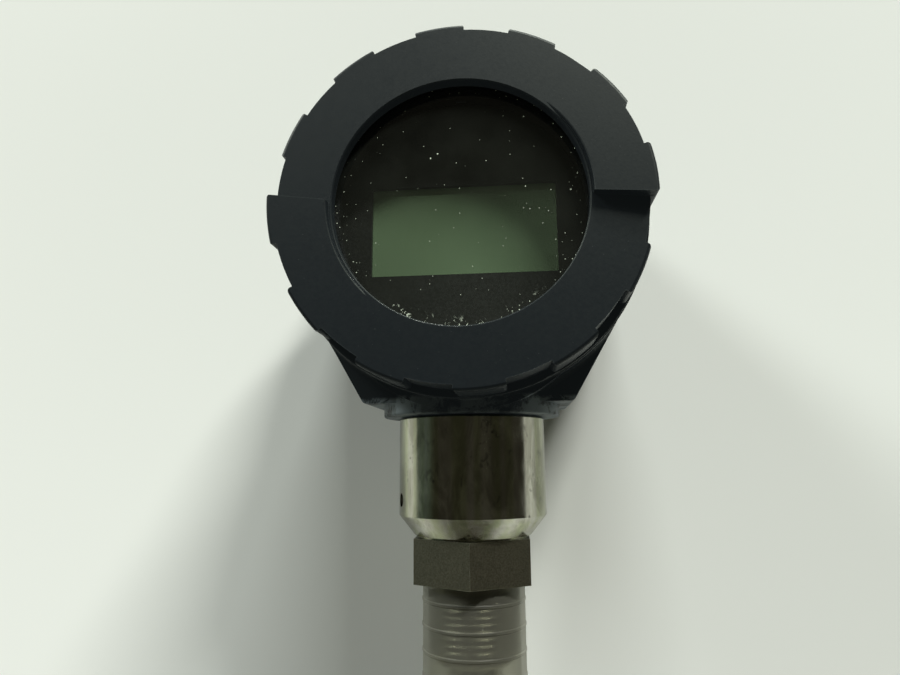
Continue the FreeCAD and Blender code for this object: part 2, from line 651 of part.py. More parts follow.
def outer_earth():
    """Seat point and outward direction of the outside earth screw."""
    seat = ring_point(OUTER_EARTH_PAD_R, OUTER_EARTH_ANGLE)
    return seat, (seat - AXIS).normalize()


def inner_earth_seat():
    return ring_point(INNER_EARTH_CIRCLE_R, INNER_EARTH_ANGLE, INNER_EARTH_PAD - SHELF_BACK)


def add_pads(shell):
    """Pads for the module screws and the two earth screws."""
    middle = SHELF_FRONT - SHELF_THICKNESS / 2
    length = middle - SHELF_BACK + SHELF_PAD_LENGTH
    for point in module_screw_points():
        base = V(point.x, -middle, point.z)
        pad = Part.makeCylinder(SHELF_PAD_R, length, base, Y_AXIS)
        shell = shell.fuse(pad.common(chamber_limit()))
    seat = inner_earth_seat()
    pad = Part.makeCylinder(EARTH_PAD_R, seat.y + middle, V(seat.x, -middle, seat.z), Y_AXIS)
    shell = shell.fuse(pad.common(chamber_limit()))
    seat, out = outer_earth()
    drop = OUTER_EARTH_RISE + DRUM_WALL / 2
    pad = Part.makeCylinder(EARTH_PAD_R, drop, seat - out * drop, out)
    return shell.fuse(pad)


def chamber_limit():
    """Cylinder that keeps pads inside the drum's wall."""
    return Part.makeCylinder(CHAMBER_WALL_R + 1, 2 * DRUM_HALF, V(0, -DRUM_HALF, AXIS_Z), Y_AXIS)


def cut_neck(shell):
    """Neck bore, O-ring pocket, wire hole and lock screw hole."""
    start = V(0, 0, BOSS_BOTTOM_Z - 1)
    bore_top = NECK_TOP_Z + NECK_END_GAP
    bore_r = NECK_R + NECK_CLEARANCE
    shell = shell.cut(Part.makeCylinder(bore_r, bore_top - start.z, start))
    pocket_top = BODY_TOP_Z + 2 * NECK_ORING_SECTION_R + NECK_ORING_GAP
    pocket_r = NECK_R + 2 * NECK_ORING_SECTION_R + 2 * NECK_ORING_GAP
    shell = shell.cut(Part.makeCylinder(pocket_r, pocket_top - start.z, start))
    chamber_floor = AXIS_Z - CHAMBER_WALL_R
    wire_hole = Part.makeCylinder(WIRE_HOLE_R, chamber_floor + 2 - bore_top, V(0, 0, bore_top - 1))
    shell = shell.cut(wire_hole)
    out = lock_direction()
    hole = Part.makeCylinder(LOCK_SCREW_R + SCREW_CLEARANCE, 2 * BOSS_R, V(0, 0, LOCK_Z), out)
    core = Part.makeCylinder(NECK_R - 1, 4 * LOCK_SCREW_R, V(0, 0, LOCK_Z - 2 * LOCK_SCREW_R))
    return shell.cut(hole.cut(core))


def screw_hole(size, seat, inward):
    """Clear hole for a pan head screw's shank."""
    return Part.makeCylinder(size[0] + SCREW_CLEARANCE, size[1] + SCREW_TIP_GAP, seat, inward)


def housing():
    """Cast drum with hexagonal lower body, neck boss, cable entries, shelf and pads."""
    drum = turned_y([
        (0, -DRUM_HALF), (DRUM_R - DRUM_EDGE, -DRUM_HALF), (DRUM_R, DRUM_EDGE - DRUM_HALF),
        (DRUM_R, DRUM_HALF - DRUM_EDGE), (DRUM_R - DRUM_EDGE, DRUM_HALF), (0, DRUM_HALF),
    ])
    shell = drum.fuse([lower_block(), neck_boss(), chin()] + entry_bosses())
    shell = shell.cut(housing_cavity())
    shell = add_pads(shell)
    for side in (-1, 1):
        face, out = entry_axis(side)
        depth = ENTRY_FACE_X - CHAMBER_WALL_R + ENTRY_LIFT
        shell = shell.cut(Part.makeCylinder(ENTRY_R, depth, face, out * -1))
        mouth = Part.makeCone(ENTRY_R + ENTRY_CHAMFER, ENTRY_R, ENTRY_CHAMFER, face, out * -1)
        shell = shell.cut(mouth)
    shell = cut_neck(shell)
    for point in module_screw_points():
        shell = shell.cut(screw_hole(M3_SCREW, point, Y_AXIS))
    inner_seat = inner_earth_seat() + Y_AXIS * EARTH_WASHER_THICKNESS
    shell = shell.cut(screw_hole(M4_SCREW, inner_seat, Y_AXIS * -1))
    seat, out = outer_earth()
    shell = shell.cut(screw_hole(M4_SCREW, seat + out * EARTH_WASHER_THICKNESS, out * -1))
    return shell.removeSplitter()


def housing_lock_screw():
    """Grub screw with a dog point that runs in the neck's groove."""
    out = lock_direction()
    tip = out * (LOCK_GROOVE_R + LOCK_TIP_GAP) + V(0, 0, LOCK_Z)
    point = Part.makeCylinder(LOCK_SCREW_POINT_R, LOCK_SCREW_POINT, tip, out)
    base = tip + out * LOCK_SCREW_POINT
    length = BOSS_R - LOCK_SCREW_SINK - LOCK_SCREW_POINT - LOCK_TIP_GAP - LOCK_GROOVE_R
    shank = Part.makeCylinder(LOCK_SCREW_R, length, base, out)
    floor = base + out * (length - LOCK_SCREW_SOCKET_DEPTH)
    socket = hexagon(LOCK_SCREW_SOCKET_AF, floor, out, LOCK_SCREW_SOCKET_DEPTH + 1)
    return point.fuse(shank).cut(socket).removeSplitter()


def earth_washer(seat, out):
    """Plain washer under an earth screw's head."""
    return tube(M4_SCREW[0] + SCREW_CLEARANCE, EARTH_WASHER_R, seat, out, EARTH_WASHER_THICKNESS)


def earth_parts():
    """Screws and washers of the inside and outside earth terminals."""
    inner = inner_earth_seat()
    outer, out = outer_earth()
    return {
        "earth_washer_inner": earth_washer(inner, Y_AXIS),
        "earth_screw_inner": pan_screw(M4_SCREW, inner + Y_AXIS * EARTH_WASHER_THICKNESS, Y_AXIS * -1),
        "earth_washer_outer": earth_washer(outer, out),
        "earth_screw_outer": pan_screw(M4_SCREW, outer + out * EARTH_WASHER_THICKNESS, out * -1),
    }


def conduit_plug():
    """Blanking plug with a hexagon socket in the right-hand cable entry."""
    face, out = entry_axis(1)
    seat = face + out * PLUG_SEAL_THICKNESS
    head = Part.makeCylinder(PLUG_HEAD_R, PLUG_HEAD_HEIGHT, seat, out)
    rim = [e for e in head.Edges if e.CenterOfMass.x > seat.x + PLUG_HEAD_HEIGHT - 1e-3]
    head = head.makeChamfer(PLUG_EDGE, rim)
    length = PLUG_LENGTH + PLUG_SEAL_THICKNESS
    shank = Part.makeCylinder(ENTRY_R - PLUG_CLEARANCE, length, seat, out * -1)
    tip = [e for e in shank.Edges if e.CenterOfMass.x < seat.x - length + 1e-3]
    shank = shank.makeChamfer(PLUG_EDGE, tip)
    socket = hexagon(PLUG_SOCKET_AF, seat + out * PLUG_HEAD_HEIGHT, out * -1, PLUG_SOCKET_DEPTH)
    return head.fuse(shank).cut(socket).removeSplitter()


def conduit_seal():
    """Flat seal under the blanking plug's head."""
    face, out = entry_axis(1)
    return tube(ENTRY_R + ENTRY_CHAMFER, PLUG_HEAD_R, face, out, PLUG_SEAL_THICKNESS)


# ---- electronics -------------------------------------------------------------------------------

def module_cup():
    """Moulded cup with a flange that is screwed to the housing's shelf."""
    cup = turned_y([
        (CUP_R - CUP_WALL, FLANGE_FRONT), (FLANGE_R, FLANGE_FRONT, FLANGE_EDGE), (FLANGE_R, SHELF_FRONT),
        (CUP_R, SHELF_FRONT), (CUP_R, -CUP_BACK, CUP_EDGE), (0, -CUP_BACK), (0, CUP_WALL - CUP_BACK),
        (CUP_R - CUP_WALL, CUP_WALL - CUP_BACK),
    ])
    for point in module_screw_points():
        cup = cup.cut(screw_hole(M3_SCREW, point, Y_AXIS))
    return cup


def module_potting():
    """Casting resin that fills the cup behind the main board."""
    back = CUP_WALL - CUP_BACK
    radius = CUP_R - CUP_WALL
    return turned_y([
        (0, POTTING_FRONT), (radius, POTTING_FRONT, POTTING_EDGE), (radius, back), (0, back),
    ])


def main_board():
    """Main circuit board on the potting, with its larger components."""
    board = Part.makeCylinder(MAIN_BOARD_R, BOARD_THICKNESS, V(0, -MAIN_BOARD_FRONT, AXIS_Z), Y_AXIS)
    parts = [box_about(x, -MAIN_BOARD_FRONT - size[1], z, size) for x, z, size in BOARD_COMPONENTS]
    return board.fuse(parts)


def board_connector():
    """Socket strip that joins the main board to the display board."""
    size = (CONNECTOR_WIDTH, DISPLAY_BOARD_BACK - MAIN_BOARD_FRONT, CONNECTOR_HEIGHT)
    return box_about(0.0, -DISPLAY_BOARD_BACK, CONNECTOR_SET_BACK - MAIN_BOARD_R, size)


def display_screw_points():
    return [ring_point(DISPLAY_SCREW_CIRCLE_R, 90.0 * k, -DISPLAY_BOARD_FRONT) for k in range(4)]


def display_standoffs():
    """Four hexagonal spacers between the module's flange and the display board."""
    spacers = []
    for point in display_screw_points():
        base = V(point.x, -FLANGE_FRONT, point.z)
        spacer = hexagon(2 * STANDOFF_R * math.cos(math.radians(30)), base, Y_AXIS * -1, STANDOFF_LENGTH)
        hole = Part.makeCylinder(M3_SHORT[0] + SCREW_CLEARANCE, STANDOFF_LENGTH, base, Y_AXIS * -1)
        spacers.append(spacer.cut(hole))
    return Part.makeCompound(spacers)


def display_board():
    """Round circuit board that carries the display."""
    centre = V(0, -DISPLAY_BOARD_FRONT, AXIS_Z)
    board = Part.makeCylinder(DISPLAY_BOARD_R, BOARD_THICKNESS, centre, Y_AXIS)
    for point in display_screw_points():
        board = board.cut(screw_hole(M3_SHORT, point, Y_AXIS))
    return board


def display_screws():
    """Four short screws that hold the display board on its spacers."""
    return Part.makeCompound([pan_screw(M3_SHORT, p, Y_AXIS) for p in display_screw_points()])


def lcd_panel():
    """Glass sandwich of the display."""
    panel = box_about(0.0, -LCD_FRONT, -LCD_DROP, (LCD_WIDTH, LCD_THICKNESS, LCD_HEIGHT))
    height, depth = LCD_LEDGE
    middle = -LCD_DROP - (LCD_HEIGHT - height) / 2
    ledge = box_about(0.0, -LCD_FRONT, middle, (LCD_WIDTH, depth, height))
    return panel.cut(ledge)


def display_bezel():
    """Black cover over the display board with the viewing window."""
    inner_r = BEZEL_R - BEZEL_WALL
    bezel = turned_y([
        (0, BEZEL_FRONT), (BEZEL_R, BEZEL_FRONT, BEZEL_EDGE), (BEZEL_R, DISPLAY_BOARD_FRONT),
        (inner_r, DISPLAY_BOARD_FRONT), (inner_r, LCD_FRONT), (0, LCD_FRONT),
    ])
    half_w = LCD_VIEW_WIDTH / 2
    half_h = LCD_VIEW_HEIGHT / 2
    outline = []
    for sx, sz in ((-1, -1), (1, -1), (1, 1), (-1, 1)):
        outline.append((sx * half_w, sz * half_h - LCD_DROP, LCD_VIEW_CORNER))
    window = plate_y(outline, -BEZEL_FRONT - 1, -LCD_FRONT + 1)
    return bezel.cut(window)


# ---- terminals ---------------------------------------------------------------------------------

def terminal_centres():
    middle = (TERMINAL_COUNT - 1) / 2
    return [TERMINAL_PITCH * (k - middle) for k in range(TERMINAL_COUNT)]


def terminal_screw_seats():
    y = TERMINAL_FLOOR + TERMINAL_PLATE_THICKNESS + TERMINAL_WASHER_THICKNESS
    return [V(x, y, AXIS_Z - TERMINAL_DROP) for x in terminal_centres()]


def terminal_block():
    """Moulded block with one open well for each terminal."""
    width = TERMINAL_COUNT * TERMINAL_PITCH + TERMINAL_RIB
    size = (width, TERMINAL_BLOCK_DEPTH, TERMINAL_BLOCK_HEIGHT)
    block = box_about(0.0, CUP_BACK, -TERMINAL_DROP, size)
    well_width = TERMINAL_PITCH - TERMINAL_RIB
    well_height = TERMINAL_BLOCK_HEIGHT - TERMINAL_RIB
    for x in terminal_centres():
        well = box_about(x, TERMINAL_FLOOR, -TERMINAL_DROP - TERMINAL_RIB,
                         (well_width, TERMINAL_BLOCK_DEPTH, well_height))
        block = block.cut(well)
    for seat in terminal_screw_seats():
        block = block.cut(screw_hole(M4_SCREW, seat, Y_AXIS * -1))
    return block


def terminal_plate_side():
    return TERMINAL_PITCH - TERMINAL_RIB - 2 * TERMINAL_PLATE_GAP


def terminal_squares(low, side, thickness):
    """A drilled square plate for each terminal."""
    plates = []
    for x, seat in zip(terminal_centres(), terminal_screw_seats()):
        plate = box_about(x, low, -TERMINAL_DROP, (side, thickness, side))
        plates.append(plate.cut(screw_hole(M4_SCREW, seat, Y_AXIS * -1)))
    return Part.makeCompound(plates)


def terminal_plates():
    """Brass contact plates on the floors of the wells."""
    return terminal_squares(TERMINAL_FLOOR, terminal_plate_side(), TERMINAL_PLATE_THICKNESS)


def terminal_washers():
    """Square clamping washers under the screw heads."""
    low = TERMINAL_FLOOR + TERMINAL_PLATE_THICKNESS
    side = terminal_plate_side() - 2 * TERMINAL_WASHER_STEP
    return terminal_squares(low, side, TERMINAL_WASHER_THICKNESS)


def terminal_screws():
    """One pan head screw for each terminal."""
    return Part.makeCompound([pan_screw(M4_SCREW, seat, Y_AXIS * -1) for seat in terminal_screw_seats()])


# ---- covers ------------------------------------------------------------------------------------

def cover_outside():
    """Outer half of a cover's section, from the face to the end of its thread."""
    male_r = COVER_THREAD_R - COVER_THREAD_CLEARANCE
    root_end = SEAL_CENTRE - SEAL_SECTION_R - SEAL_ROOT_GAP
    return [
        (TAB_R, COVER_FACE, TAB_EDGE), (TAB_R, LIP_FRONT), (LIP_R, LIP_FRONT, LIP_EDGE),
        (LIP_R, LIP_BACK, LIP_EDGE), (SEAL_ROOT_R, LIP_BACK), (SEAL_ROOT_R, root_end),
        (male_r, root_end), (male_r, COVER_THREAD_END, COVER_THREAD_EDGE), (SPIGOT_R, COVER_THREAD_END),
    ]


def notch(side, angle):
    """Finger notch between two tabs, open to the face and closed by the lip.

    Its mouth flares round the corners of the tabs beside it.
    """
    half = 180.0 / TAB_COUNT - TAB_HALF_ANGLE
    corner_r = TAB_R - TAB_CORNER
    flare = math.degrees(math.asin(TAB_CORNER / corner_r))
    wall_top_r = math.sqrt(corner_r ** 2 - TAB_CORNER ** 2)
    floor_r = TAB_R - NOTCH_DEPTH
    outer_r = LIP_R + 2
    y = side * LIP_FRONT
    edges = [Part.Arc(ring_point(floor_r, angle - half, y), ring_point(floor_r, angle, y),
                      ring_point(floor_r, angle + half, y)).toShape()]
    for sign in (1, -1):
        wall = angle + sign * half
        centre = ring_point(corner_r, wall + sign * flare, y)
        wall_top = ring_point(wall_top_r, wall, y)
        crest = ring_point(TAB_R, wall + sign * flare, y)
        middle = centre + ((wall_top + crest) * 0.5 - centre).normalize() * TAB_CORNER
        edges.append(Part.makeLine(ring_point(floor_r, wall, y), wall_top))
        edges.append(Part.Arc(wall_top, middle, crest).toShape())
        edges.append(Part.makeLine(crest, ring_point(outer_r, wall + sign * flare, y)))
    edges.append(Part.Arc(ring_point(outer_r, angle - half - flare, y), ring_point(outer_r, angle, y),
                          ring_point(outer_r, angle + half + flare, y)).toShape())
    depth = COVER_FACE + LUG_HEIGHT + 1 - LIP_FRONT
    wire = Part.Wire(Part.__sortEdges__(edges))
    return Part.Face(wire).extrude(V(0, side * depth, 0))


def lug_slope(side, far):
    """Solid under the lug's flat slope, which meets the face along the radius at the far angle."""
    reach = 2 * TAB_R
    along = ring_point(1, far) - AXIS
    towards_step = ring_point(1, far + side * 90) - AXIS
    rise = LUG_HEIGHT / (TAB_R * math.sin(math.radians(LUG_SWEEP)))
    outline = ((0, -TAB_EDGE), (reach, -TAB_EDGE), (reach, rise * reach), (0, 0))
    corners = [AXIS + towards_step * v + Y_AXIS * (side * (COVER_FACE + lift)) for v, lift in outline]
    return Part.Face(Part.makePolygon(corners + corners[:1])).extrude(along * reach)


def lug(side, angle):
    """Wedge on the face: a step, and a slope that fades out round the ring, for a bar laid across."""
    far = angle - side * LUG_SWEEP
    low = side * (COVER_FACE - TAB_EDGE)
    outer = ring_point(TAB_R, angle, low)
    inner = ring_point(LUG_INNER_R, angle - side * LUG_SKEW, low)
    step = outer - inner
    corners = [
        inner - step, outer + step, ring_point(2 * TAB_R, (angle + far) / 2, low),
        ring_point(2 * TAB_R, far, low), ring_point(LUG_INNER_R / 2, far, low),
    ]
    sector = Part.Face(Part.makePolygon(corners + corners[:1])).extrude(V(0, side * 2 * LUG_HEIGHT, 0))
    top = COVER_FACE + 2 * LUG_HEIGHT
    ring = turned_y([
        (LUG_INNER_R, COVER_FACE - TAB_EDGE), (TAB_R, COVER_FACE - TAB_EDGE), (TAB_R, top),
        (LUG_INNER_R, top),
    ], side)
    wedge = ring.common(sector).common(lug_slope(side, far)).Solids[0]
    for radius, edge_r in ((TAB_R, LUG_OUTER_EDGE), (LUG_INNER_R, LUG_INNER_EDGE)):
        crest = max(on_cylinder(wedge, radius), key=lambda e: abs(e.CenterOfMass.y))
        wedge = wedge.makeFillet(edge_r, [crest])
    return wedge


def on_cylinder(solid, radius):
    """Edges of a solid that run round the cover axis at a radius."""
    edges = []
    for edge in solid.Edges:
        low, high = edge.ParameterRange
        points = [edge.valueAt(low + (high - low) * share) - AXIS for share in (0, 0.5, 1)]
        if all(abs(math.hypot(p.x, p.z) - radius) < 1e-3 for p in points) and edge.Length > 4 * LUG_HEIGHT:
            edges.append(edge)
    return edges


def add_grip(blank, side):
    """Lugs on the face and notches round the rim."""
    step = 360.0 / TAB_COUNT
    first_edge = TAB_OFFSET - TAB_HALF_ANGLE
    if side > 0:
        first_edge = 180.0 - first_edge
    for turn in (0.0, 180.0):
        blank = blank.fuse(lug(side, first_edge + turn))
    notches = []
    for k in range(TAB_COUNT):
        middle = TAB_OFFSET + step * (k + 0.5)
        if side > 0:
            middle = 180.0 - middle
        notches.append(notch(side, middle))
    return blank.cut(notches).removeSplitter()


def front_cover():
    """Front cover with the window opening, glass seat and inner ring thread."""
    seat_r = GLASS_R + GLASS_CLEARANCE
    section = [(WINDOW_R + WINDOW_BEVEL, COVER_FACE)] + cover_outside() + [
        (SPIGOT_R, GLASS_RING_BACK), (GLASS_RING_R, GLASS_RING_BACK),
        (GLASS_RING_R, GLASS_BACK), (seat_r, GLASS_BACK), (seat_r, COVER_FACE - WINDOW_WALL),
        (WINDOW_R, COVER_FACE - WINDOW_WALL), (WINDOW_R, COVER_FACE - WINDOW_BEVEL),
    ]
    return add_grip(turned_y(section), -1)


def rear_cover():
    """Blind rear cover with a low raised pad in its face."""
    inside = COVER_FACE - BLIND_WALL
    section = [
        (0, COVER_FACE + BLIND_PAD_HEIGHT), (BLIND_PAD_R, COVER_FACE + BLIND_PAD_HEIGHT, BLIND_PAD_EDGE),
        (BLIND_PAD_R, COVER_FACE),
    ] + cover_outside() + [(SPIGOT_R, inside, BLIND_CORNER), (0, inside)]
    return add_grip(turned_y(section, 1), 1)


def window_gasket():
    """Flat gasket between the cover's shoulder and the glass."""
    inner_r = WINDOW_R + GASKET_SET_BACK
    front = COVER_FACE - WINDOW_WALL
    return turned_y([
        (inner_r, front), (GLASS_R, front), (GLASS_R, GLASS_FRONT), (inner_r, GLASS_FRONT),
    ])


def window_glass():
    """Toughened glass disc with ground edges."""
    return turned_y([
        (0, GLASS_FRONT), (GLASS_R - GLASS_EDGE, GLASS_FRONT), (GLASS_R, GLASS_FRONT - GLASS_EDGE),
        (GLASS_R, GLASS_BACK + GLASS_EDGE), (GLASS_R - GLASS_EDGE, GLASS_BACK), (0, GLASS_BACK),
    ])


def glass_retaining_ring():
    """Threaded ring with four spanner slots that holds the glass from behind."""
    outer_r = GLASS_RING_R - RING_CLEARANCE
    ring = turned_y([
        (GLASS_RING_INNER_R, GLASS_BACK), (outer_r, GLASS_BACK),
        (outer_r, GLASS_RING_BACK), (GLASS_RING_INNER_R, GLASS_RING_BACK),
    ])
    for turn in (0.0, 90.0):
        size = (3 * GLASS_RING_R, SPANNER_SLOT, SPANNER_SLOT)
        slot = box_about(0.0, -GLASS_RING_BACK - SPANNER_SLOT / 2, 0.0, size)
        slot.rotate(AXIS, Y_AXIS, turn)
        ring = ring.cut(slot)
    return ring


def cover_seal(side):
    """O-ring at the root of a cover's thread."""
    radius = SEAL_ROOT_R + SEAL_CLEARANCE + SEAL_SECTION_R
    return Part.makeTorus(radius, SEAL_SECTION_R, V(0, side * SEAL_CENTRE, AXIS_Z), Y_AXIS)


# ---- thread protector --------------------------------------------------------------------------

def thread_cap():
    """Soft plastic cap over the process thread, with shallow bands and a grip on the nose."""
    inner_r = THREAD_R + CAP_CLEARANCE
    outer_r = inner_r + CAP_WALL
    floor_z = -THREAD_LENGTH - NOSE_LENGTH - CAP_END_GAP
    end_z = floor_z - CAP_FLOOR
    grip_r = NOSE_R + CAP_GRIP_CLEARANCE
    grip_top = -THREAD_LENGTH - CAP_GRIP_GAP
    profile = [(outer_r, -CAP_RIM_GAP)]
    for k in range(CAP_BAND_COUNT):
        z = -CAP_BAND_START - CAP_BAND_PITCH * k
        band_r = outer_r + CAP_BAND_HEIGHT
        profile += [(outer_r, z + CAP_BAND_WIDTH / 2), (band_r, z + CAP_BAND_WIDTH / 4),
                    (band_r, z - CAP_BAND_WIDTH / 4), (outer_r, z - CAP_BAND_WIDTH / 2)]
    profile += [
        (outer_r, end_z, CAP_EDGE), (0, end_z), (0, floor_z), (grip_r, floor_z),
        (grip_r, grip_top), (grip_r + CAP_GRIP_WALL, grip_top), (grip_r + CAP_GRIP_WALL, floor_z),
        (inner_r, floor_z), (inner_r, -CAP_RIM_GAP),
    ]
    return turned_z(profile)


def module_screws():
    """Four screws that hold the module on the shelf."""
    return Part.makeCompound([pan_screw(M3_SCREW, p, Y_AXIS) for p in module_screw_points()])


def all_parts():
    """Every piece of the transmitter under its node's name."""
    parts = {
        "sensor_body": sensor_body(),
        "vent_filter": vent_filter(),
        "sensor_cell": sensor_cell(),
        "cell_oring": cell_oring(),
        "cell_retaining_ring": cell_retaining_ring(),
        "sensor_board": sensor_board(),
        "neck_oring": neck_oring(),
        "housing": housing(),
        "housing_lock_screw": housing_lock_screw(),
        "conduit_plug": conduit_plug(),
        "conduit_seal": conduit_seal(),
        "module_cup": module_cup(),
        "module_potting": module_potting(),
        "module_screws": module_screws(),
        "main_board": main_board(),
        "board_connector": board_connector(),
        "display_standoffs": display_standoffs(),
        "display_board": display_board(),
        "display_screws": display_screws(),
        "lcd_panel": lcd_panel(),
        "display_bezel": display_bezel(),
        "terminal_block": terminal_block(),
        "terminal_plates": terminal_plates(),
        "terminal_washers": terminal_washers(),
        "terminal_screws": terminal_screws(),
        "front_cover": front_cover(),
        "window_gasket": window_gasket(),
        "window_glass": window_glass(),
        "glass_retaining_ring": glass_retaining_ring(),
        "front_seal": cover_seal(-1),
        "rear_cover": rear_cover(),
        "rear_seal": cover_seal(1),
        "thread_cap": thread_cap(),
    }
    parts.update(earth_parts())
    return parts


os.makedirs("parts", exist_ok=True)
for name, shape in all_parts().items():
    shape.exportStep(os.path.join("parts", name + ".step"))
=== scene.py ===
import json
import math

import bmesh
import bpy
from mathutils import Matrix, Vector


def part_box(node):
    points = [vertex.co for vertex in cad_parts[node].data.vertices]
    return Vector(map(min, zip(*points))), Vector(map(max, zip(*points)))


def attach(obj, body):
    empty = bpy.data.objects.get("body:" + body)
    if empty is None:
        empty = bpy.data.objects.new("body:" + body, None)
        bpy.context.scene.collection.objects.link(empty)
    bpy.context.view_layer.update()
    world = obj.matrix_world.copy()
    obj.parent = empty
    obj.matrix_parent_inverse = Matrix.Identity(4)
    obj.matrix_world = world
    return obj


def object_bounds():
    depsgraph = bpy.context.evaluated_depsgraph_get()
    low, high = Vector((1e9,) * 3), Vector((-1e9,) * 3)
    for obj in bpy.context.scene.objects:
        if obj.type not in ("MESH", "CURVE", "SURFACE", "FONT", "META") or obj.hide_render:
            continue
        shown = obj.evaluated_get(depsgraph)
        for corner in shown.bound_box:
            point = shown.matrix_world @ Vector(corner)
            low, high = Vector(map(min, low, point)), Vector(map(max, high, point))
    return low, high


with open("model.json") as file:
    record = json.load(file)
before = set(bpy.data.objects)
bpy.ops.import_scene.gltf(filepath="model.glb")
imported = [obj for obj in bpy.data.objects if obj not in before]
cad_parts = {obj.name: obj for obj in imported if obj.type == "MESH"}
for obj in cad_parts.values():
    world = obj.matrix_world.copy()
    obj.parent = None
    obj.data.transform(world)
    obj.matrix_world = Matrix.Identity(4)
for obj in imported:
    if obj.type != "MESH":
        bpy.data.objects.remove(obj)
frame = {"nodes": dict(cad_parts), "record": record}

# Looks of the pressure transmitter: a painted housing and covers, a turned stem, a milky cap over the
# process thread, and the paper that the photograph shows it on. Metres throughout.

CAD_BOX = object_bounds()
MM = 0.001

SENSOR = "sensor"
HOUSING = "electronics_housing"

AXIS_Z = sum(c.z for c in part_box("window_glass")) / 2      # height of the covers' axis

# Sensor body: heights above the frame's origin, and the width of the painted glint on its corners
HEXAGON_TOP = 10.2 * MM
HEXAGON_BLUR = 0.05 * MM       # either side of that height
STAINS = 16 * MM, 20 * MM      # none below the first, full from the second
CORNER_GLINT = 0.28 * MM

# Worn paint: on edges, and at the housing's foot. The edges also carry a lighter line of this width, a
# painted highlight
EDGE_SHEEN_AND_WEAR = 0.4 * MM
WORN_UP_TO = 3.4 * MM, 4.4 * MM        # above the foot: full up to the first, none from the second
WORN_ASIDE = 9 * MM, 15 * MM           # from the stem to the side: half up to the first, full from the second

# Dirt on the window
GLASS_FACE = 0.1 * MM          # only this far behind the glass's front
GLASS_SEAT = 3.8 * MM          # width of the glass's rim that the cover hides
RIM_DUST = 3.2 * MM, 0.6 * MM  # inside the clear opening: none from the first, full from the second
SHREDS_BELOW = 0.62, 0.9       # below the middle, in radii of the opening: none above the first

# M20 x 1.5 threads, as ridges on the surfaces that the CAD leaves smooth
PITCH = 1.5 * MM
RIDGE_SINK = 0.02 * MM         # the ridge's root lies this deep in its surface
RIDGE_HALF_ROOT = 0.42         # half widths, in pitches
RIDGE_HALF_CREST = 0.07
TURN_SEGMENTS = 96
PROCESS_RIDGE = 0.34 * MM
ENTRY_RIDGE = -0.32 * MM       # inwards
PROCESS_ENDS = 1.4 * MM, 0.9 * MM      # plain wall left at the mount's start and end
ENTRY_ENDS = 1.4 * MM, 1.6 * MM

# The photographer's view: low on the front, looking slightly up the stem
VIEW_ANGLES = 5.79, -10.61, -0.44          # azimuth, elevation and roll in degrees
VIEW_PLACE = 11.34 * MM, -163.93 * MM, AXIS_Z - 55.25 * MM
LENS_MM = 26.0
FILM_WIDTH_MM = 36.0

PAPER_GAP = 0.2 * MM           # between the paper and the back of the transmitter
PAPER_SIDE = 1.6
PAPER_TOP = 1.8
LAMP_TARGET = 0, 0, 0.05


# ---- node trees --------------------------------------------------------------------------------

class Nodes:
    """A node tree under construction: adds nodes, and sets or links their inputs."""

    def __init__(self, tree):
        tree.nodes.clear()
        self.tree = tree

    def add(self, kind, inputs=None, **settings):
        """A node of a kind; its inputs go by name or number."""
        node = self.tree.nodes.new("ShaderNode" + kind)
        for key, value in settings.items():
            setattr(node, key, value)
        for key, value in (inputs or {}).items():
            self.put(node.inputs[key], value)
        return node

    def put(self, socket, value):
        """Links an output to a socket, or sets the socket to a value."""
        if isinstance(value, bpy.types.NodeSocket):
            self.tree.links.new(value, socket)
        elif hasattr(value, "__len__") and socket.type == "RGBA" and len(value) == 3:
            socket.default_value = (*value, 1.0)
        else:
            socket.default_value = value

    def math(self, operation, a, b=0.0):
        """Result of a Math node."""
        return self.add("Math", {0: a, 1: b}, operation=operation).outputs[0]

    def product(self, a, b):
        return self.math("MULTIPLY", a, b)

    def larger(self, a, b):
        return self.math("MAXIMUM", a, b)

    def dot(self, a, b):
        return self.add("VectorMath", {0: a, 1: b}, operation="DOT_PRODUCT").outputs["Value"]

    def split(self, vector):
        """The vector's x, y and z."""
        return self.add("SeparateXYZ", {0: vector}).outputs

    def mix(self, factor, a, b, blend="MIX"):
        """Mixes two colours."""
        node = self.add("Mix", data_type="RGBA", blend_type=blend)
        for socket, value in zip((node.inputs[0], node.inputs[6], node.inputs[7]), (factor, a, b)):
            self.put(socket, value)
        return node.outputs[2]

    def blend(self, factor, a, b):
        """Mixes two shaders."""
        return self.add("MixShader", {0: factor, 1: a, 2: b}).outputs[0]

    def steps(self, factor, low, high, out_low=0.0, out_high=1.0):
        """Smooth step of a factor, between two levels."""
        inputs = {0: factor, 1: low, 2: high, 3: out_low, 4: out_high}
        return self.add("MapRange", inputs, interpolation_type="SMOOTHSTEP").outputs[0]


